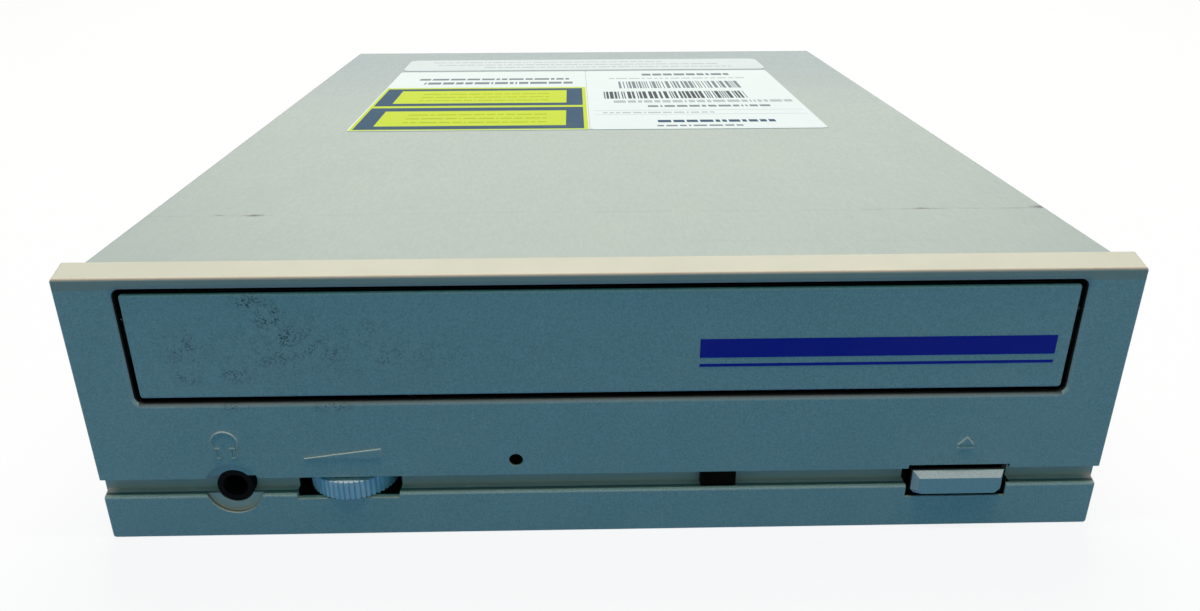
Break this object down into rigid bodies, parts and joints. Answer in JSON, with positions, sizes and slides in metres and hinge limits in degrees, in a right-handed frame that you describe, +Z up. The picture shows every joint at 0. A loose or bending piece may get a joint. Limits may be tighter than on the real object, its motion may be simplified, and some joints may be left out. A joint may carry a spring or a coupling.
{
  "type": "optical disc recorder",
  "caption": "Half-height disc recorder for a computer's drive bay: steel case, moulded bezel, motor-driven disc tray, tilting traverse, disc clamp, volume wheel and eject button.",
  "frame": {"origin": "centre of the four mounting holes in the underside, on the plane of the underside", "axes": "+X to the right as seen from the front, +Y from the bezel to the connectors, +Z up"},
  "size_m": [0.15, 0.1957, 0.0423],
  "materials": {
    "bezel_plastic": "warm grey moulded ABS with a fine matt grain",
    "door_plastic": "warm grey moulded ABS, the bezel's own colour",
    "button_plastic": "warm grey moulded ABS, slightly polished by use",
    "case_steel": "zinc-plated steel sheet, matt and lightly scratched",
    "frame_plastic": "black glass-filled plastic",
    "tray_plastic": "charcoal plastic with a fine grain",
    "gear_plastic": "natural white acetal",
    "lift_plastic": "dark grey glass-filled plastic",
    "cam_plastic": "natural white acetal",
    "board": "green solder mask over glass epoxy",
    "chip_resin": "black moulded epoxy",
    "can_sleeve": "dark blue shrink sleeve",
    "connector_black": "black nylon",
    "connector_white": "natural nylon",
    "contact_plate": "gold-flashed brass",
    "screw_steel": "zinc-plated steel screw",
    "motor_steel": "drawn steel can",
    "brass": "turned brass",
    "rubber": "black elastomer",
    "rod_steel": "ground stainless rod",
    "plate_steel": "zinc-plated pressed steel",
    "cast_metal": "die-cast light alloy",
    "lens_glass": "coated moulded lens",
    "led_lens": "smoked clear plastic",
    "led_resin": "tinted clear resin",
    "ribbon": "white flat cable film",
    "wheel_plastic": "pale grey ribbed plastic",
    "puck_plastic": "charcoal plastic"
  },
  "bodies": {
    "root": {"front_bezel": "bezel_plastic", "top_cover": "case_steel", "bottom_pan": "case_steel", "case_screws": "screw_steel", "main_frame": "frame_plastic", "front_board": "board", "main_board": "board", "board_chips": "chip_resin", "board_capacitors": "can_sleeve", "front_ribbon": "ribbon", "ide_header": "connector_black", "ide_pins": "contact_plate", "power_connector": "connector_white", "power_pins": "contact_plate", "audio_connector": "connector_white", "digital_audio_connector": "connector_black", "jumper_block": "connector_black", "jumper_cap": "connector_black", "headphone_jack": "connector_black", "volume_potentiometer": "connector_black", "led": "led_resin", "led_window": "led_lens", "eject_switch": "connector_black", "loading_motor": "motor_steel", "drive_belt": "rubber", "gear_axles": "rod_steel", "clamp_bridge": "plate_steel", "bridge_screws": "screw_steel"},
    "tray": {"disc_tray": "tray_plastic", "tray_rack": "tray_plastic", "tray_front": "door_plastic"},
    "drive_gear": {"drive_gear": "gear_plastic"},
    "pulley_gear": {"pulley_gear": "gear_plastic"},
    "motor_pulley": {"motor_pulley": "brass", "motor_shaft": "rod_steel"},
    "lift": {"lift_frame": "lift_plastic", "dampers": "rubber", "damper_screws": "screw_steel", "traverse_plate": "plate_steel", "spindle_motor": "motor_steel", "main_rod": "rod_steel", "sub_rod": "rod_steel", "sled_motor": "motor_steel"},
    "cam_slider": {"cam_slider": "cam_plastic"},
    "spindle": {"spindle_rotor": "motor_steel", "turntable": "puck_plastic", "centring_cone": "connector_black"},
    "clamper": {"clamper_puck": "puck_plastic", "clamper_yoke": "plate_steel"},
    "pickup": {"pickup_housing": "cast_metal", "pickup_rack": "gear_plastic", "lens_suspension": "connector_black"},
    "sled_gear": {"sled_gear": "gear_plastic"},
    "sled_pinion": {"sled_motor_pinion": "brass"},
    "lens": {"lens_holder": "connector_black", "objective_lens": "lens_glass"},
    "eject_button": {"eject_button": "button_plastic"},
    "switch_plunger": {"switch_plunger": "connector_white"},
    "volume_wheel": {"volume_wheel": "wheel_plastic"}
  },
  "joints": [
    {"name": "tray_slide", "type": "slide", "parent": "root", "child": "tray", "axis": [0, -1, 0], "range_m": [0, 0.134]},
    {"name": "drive_gear_turn", "type": "hinge", "parent": "root", "child": "drive_gear", "pos_m": [-0.0425, -0.07003, 0.0211], "axis": [0, 0, 1], "range_deg": [-0.5, 1024.18]},
    {"name": "pulley_gear_turn", "type": "hinge", "parent": "root", "child": "pulley_gear", "pos_m": [-0.0233, -0.07003, 0.0211], "axis": [0, 0, 1], "range_deg": [-3072.55, 1.5]},
    {"name": "motor_pulley_turn", "type": "hinge", "parent": "root", "child": "motor_pulley", "pos_m": [0.006, -0.07003, 0.0174], "axis": [0, 0, 1], "range_deg": [-12290.22, 6]},
    {"name": "lift_tilt", "type": "hinge", "parent": "root", "child": "lift", "pos_m": [0, 0.06498, 0.0165], "axis": [1, 0, 0], "range_deg": [0, 4]},
    {"name": "cam_slide", "type": "slide", "parent": "root", "child": "cam_slider", "axis": [1, 0, 0], "range_m": [-0.0001, 0.0201]},
    {"name": "spindle_turn", "type": "hinge", "parent": "lift", "child": "spindle", "pos_m": [0, -0.01673, 0.0253], "axis": [0, 0, 1], "continuous": true},
    {"name": "clamper_turn", "type": "hinge", "parent": "root", "child": "clamper", "pos_m": [0, -0.01673, 0.036], "axis": [0, 0, 1], "continuous": true},
    {"name": "pickup_slide", "type": "slide", "parent": "lift", "child": "pickup", "axis": [0, 1, 0], "range_m": [0, 0.034]},
    {"name": "sled_gear_turn", "type": "hinge", "parent": "lift", "child": "sled_gear", "pos_m": [-0.0376, 0.01298, 0.02295], "axis": [0, 0, 1], "range_deg": [-0.5, 541.63]},
    {"name": "sled_pinion_turn", "type": "hinge", "parent": "lift", "child": "sled_pinion", "pos_m": [-0.0376, 0.02347, 0.02295], "axis": [0, 0, 1], "range_deg": [-1733.61, 2]},
    {"name": "lens_focus", "type": "slide", "parent": "pickup", "child": "lens", "axis": [0, 0, 1], "range_m": [-0.0006, 0.0006], "stiffness_N_per_m": 30},
    {"name": "eject_press", "type": "slide", "parent": "root", "child": "eject_button", "axis": [0, 1, 0], "range_m": [0, 0.0005], "stiffness_N_per_m": 400},
    {"name": "plunger_press", "type": "slide", "parent": "root", "child": "switch_plunger", "axis": [0, 1, 0], "range_m": [-0.00001, 0.00051]},
    {"name": "volume_turn", "type": "hinge", "parent": "root", "child": "volume_wheel", "pos_m": [-0.03785, -0.08682, 0.008], "axis": [0, 0, 1], "range_deg": [-140, 140]}
  ],
  "couplings": [
    {"joint": "drive_gear_turn", "follows": "tray_slide", "rad_per_m": 133.33},
    {"joint": "pulley_gear_turn", "follows": "tray_slide", "rad_per_m": -400},
    {"joint": "motor_pulley_turn", "follows": "tray_slide", "rad_per_m": -1600},
    {"joint": "cam_slide", "follows": "lift_tilt", "m_per_rad": 0.28648},
    {"joint": "clamper_turn", "follows": "spindle_turn", "ratio": 1},
    {"joint": "sled_gear_turn", "follows": "pickup_slide", "rad_per_m": 277.78},
    {"joint": "sled_pinion_turn", "follows": "pickup_slide", "rad_per_m": -888.89},
    {"joint": "plunger_press", "follows": "eject_press", "ratio": 1}
  ]
}
